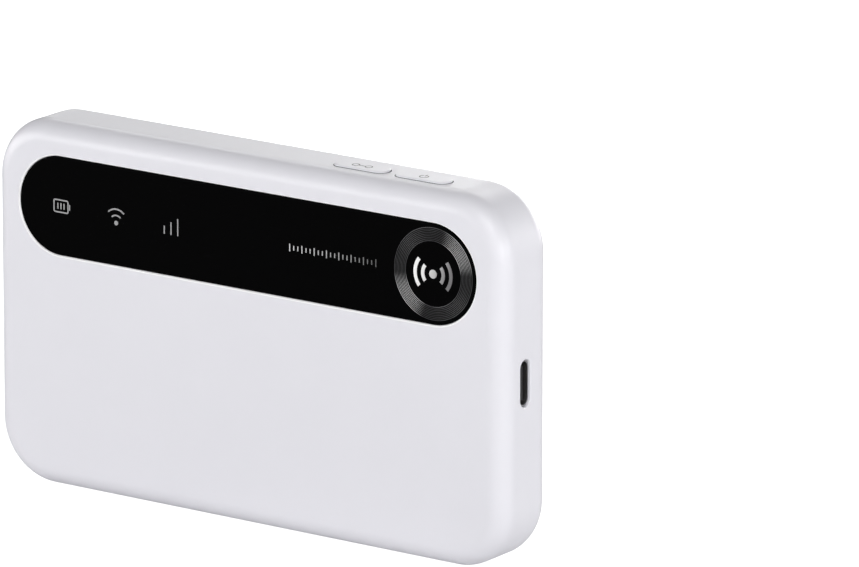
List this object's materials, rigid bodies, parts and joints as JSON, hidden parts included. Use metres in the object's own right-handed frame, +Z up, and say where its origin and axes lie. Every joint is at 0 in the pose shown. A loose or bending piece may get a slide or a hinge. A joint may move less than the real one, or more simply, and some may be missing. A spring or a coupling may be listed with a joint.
{
  "type": "mobile hotspot",
  "caption": "Slim rounded pocket router with a black status window, a grooved ring, two top keys, a side USB-C port and a clip-on grained rear cover over a battery.",
  "frame": {"origin": "under the middle of the case, on the surface its long lower side stands on", "axes": "+X to the right seen from the front, along the width; +Y from the front face to the rear cover; +Z up"},
  "size_m": [0.12, 0.0156, 0.0731],
  "materials": {
    "case_white": "satin moulded plastic",
    "skin_white": "fine leather grain, satin",
    "window_black": "polished, piano black",
    "glue_black": "foam tape",
    "print_grey": "printed",
    "ring_grey": "fine concentric grooves",
    "emblem_silver": "printed, fading to one side",
    "key_white": "satin moulded plastic",
    "guide_clear": "clear, polished",
    "foam_black": "soft foam",
    "led_yellow": "clear resin",
    "graphite": "rolled graphite sheet",
    "pad_blue": "soft silicone",
    "board_green": "solder mask",
    "can_steel": "thin drawn sheet",
    "chip_black": "moulded resin",
    "part_tan": "fired, matt",
    "frame_grey": "fine texture",
    "screw_steel": "plated",
    "flex_copper": "copper under varnish",
    "contact_gold": "gold plated",
    "port_steel": "deep drawn",
    "block_black": "glass-filled plastic",
    "switch_grey": "moulded plastic",
    "reset_red": "moulded plastic",
    "battery_grey": "film over a sealed cell",
    "label_white": "blank paper label",
    "mark_grey": "pressed foil"
  },
  "bodies": {
    "housing": {"front_case": "case_white", "window_lens": "window_black", "lens_adhesive": "glue_black", "battery_icon": "print_grey", "wifi_icon": "print_grey", "signal_icon": "print_grey", "tick_row": "print_grey", "ring_trim": "ring_grey", "emblem": "emblem_silver", "light_guide": "guide_clear", "light_shield": "foam_black", "status_leds": "led_yellow", "heat_spreader": "graphite", "spreader_pad": "pad_blue", "main_board": "board_green", "baseband_shield": "can_steel", "wifi_shield": "can_steel", "rf_shield": "can_steel", "modem_chip": "chip_black", "memory_chip": "chip_black", "power_chip": "chip_black", "wifi_chip": "chip_black", "rf_chips": "chip_black", "board_passives": "part_tan", "thermal_pad": "pad_blue", "mid_frame": "frame_grey", "frame_screws": "screw_steel", "antenna_top": "flex_copper", "antenna_bottom": "flex_copper", "antenna_left": "flex_copper", "antenna_right": "flex_copper", "antenna_springs": "contact_gold", "usb_shell": "port_steel", "usb_tongue": "block_black", "usb_contacts": "contact_gold", "usb_seal": "foam_black", "key_switches": "switch_grey", "sim_base": "block_black", "sim_shell": "can_steel", "sim_contacts": "contact_gold", "reset_switch": "switch_grey", "battery_connector": "block_black", "battery_blades": "contact_gold", "rating_label": "label_white"},
    "power_button": {"power_key": "key_white", "power_mark": "print_grey", "power_plunger": "block_black"},
    "wps_button": {"wps_key": "key_white", "wps_mark": "print_grey", "wps_plunger": "block_black"},
    "reset_pin": {"reset_button": "reset_red"},
    "battery": {"battery_cell": "battery_grey", "battery_end_cap": "block_black", "battery_terminals": "contact_gold", "battery_label": "label_white"},
    "cover": {"rear_cover": "case_white", "rear_skin": "skin_white", "rear_mark": "mark_grey", "cover_foam": "foam_black"}
  },
  "joints": [
    {"name": "power_press", "type": "slide", "parent": "housing", "child": "power_button", "axis": [0, 0, -1], "range_m": [0, 0.0003], "stiffness_N_per_m": 2000},
    {"name": "wps_press", "type": "slide", "parent": "housing", "child": "wps_button", "axis": [0, 0, -1], "range_m": [0, 0.0003], "stiffness_N_per_m": 2000},
    {"name": "reset_press", "type": "slide", "parent": "housing", "child": "reset_pin", "axis": [0, -1, 0], "range_m": [0, 0.00025], "stiffness_N_per_m": 2000},
    {"name": "battery_slide", "type": "slide", "parent": "housing", "child": "battery", "axis": [0, 1, 0], "range_m": [0, 0.012]},
    {"name": "cover_slide", "type": "slide", "parent": "battery", "child": "cover", "axis": [0, 1, 0], "range_m": [0, 0.02]}
  ]
}
